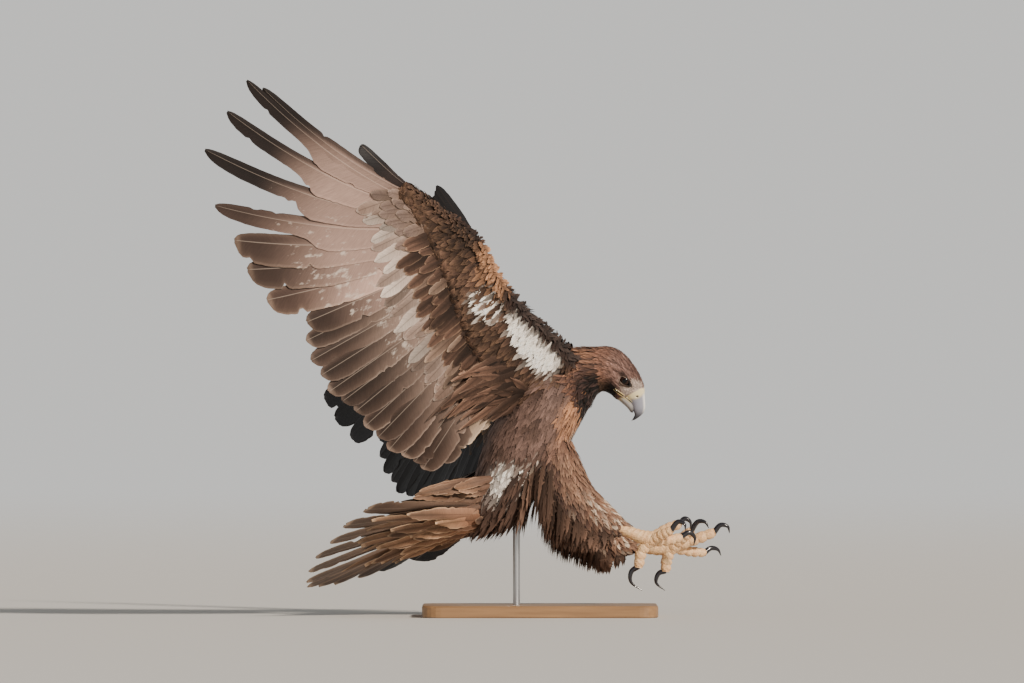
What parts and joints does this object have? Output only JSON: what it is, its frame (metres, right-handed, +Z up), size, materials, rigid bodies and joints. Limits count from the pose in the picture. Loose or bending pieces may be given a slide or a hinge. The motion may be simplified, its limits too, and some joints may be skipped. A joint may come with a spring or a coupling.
{
  "type": "golden eagle museum model on a stand",
  "caption": "Life-size still model of a golden eagle coming in to land, wings raised, tail fanned and feet thrown forward, held over a flat base by a rod.",
  "frame": {"origin": "middle of the underside of the stand's base", "axes": "+Z up, +X the way the bill points, -Y the bird's right side"},
  "size_m": [0.8811, 1.3509, 0.9024],
  "materials": {
    "stand_wood": "waxed oak, satin",
    "stand_steel": "satin steel",
    "body_feathers": "soft overlapping feathers, matt with a slight sheen",
    "nape_hackles": "pointed golden-brown hackles, matt",
    "head_feathers": "short close feathers, matt",
    "wing_feathers": "stiff vanes, satin",
    "tail_feathers": "stiff vanes, satin",
    "toe_skin": "scaled yellow skin",
    "claw_horn": "polished black horn",
    "bill_horn": "blue-grey horn with a dark tip and a yellow cere",
    "eye": "wet dark brown"
  },
  "bodies": {
    "root": {"stand_base": "stand_wood", "stand_rod": "stand_steel", "torso": "body_feathers", "neck": "nape_hackles", "head": "head_feathers", "bill_upper": "bill_horn", "bill_lower": "bill_horn", "eye_right": "eye", "eye_left": "eye", "wing_right": "wing_feathers", "wing_left": "wing_feathers", "tail": "tail_feathers", "thigh_right": "body_feathers", "thigh_left": "body_feathers", "foot_right": "toe_skin", "foot_left": "toe_skin", "claw_right_1": "claw_horn", "claw_right_2": "claw_horn", "claw_right_3": "claw_horn", "claw_right_4": "claw_horn", "claw_left_1": "claw_horn", "claw_left_2": "claw_horn", "claw_left_3": "claw_horn", "claw_left_4": "claw_horn"}
  },
  "joints": []
}
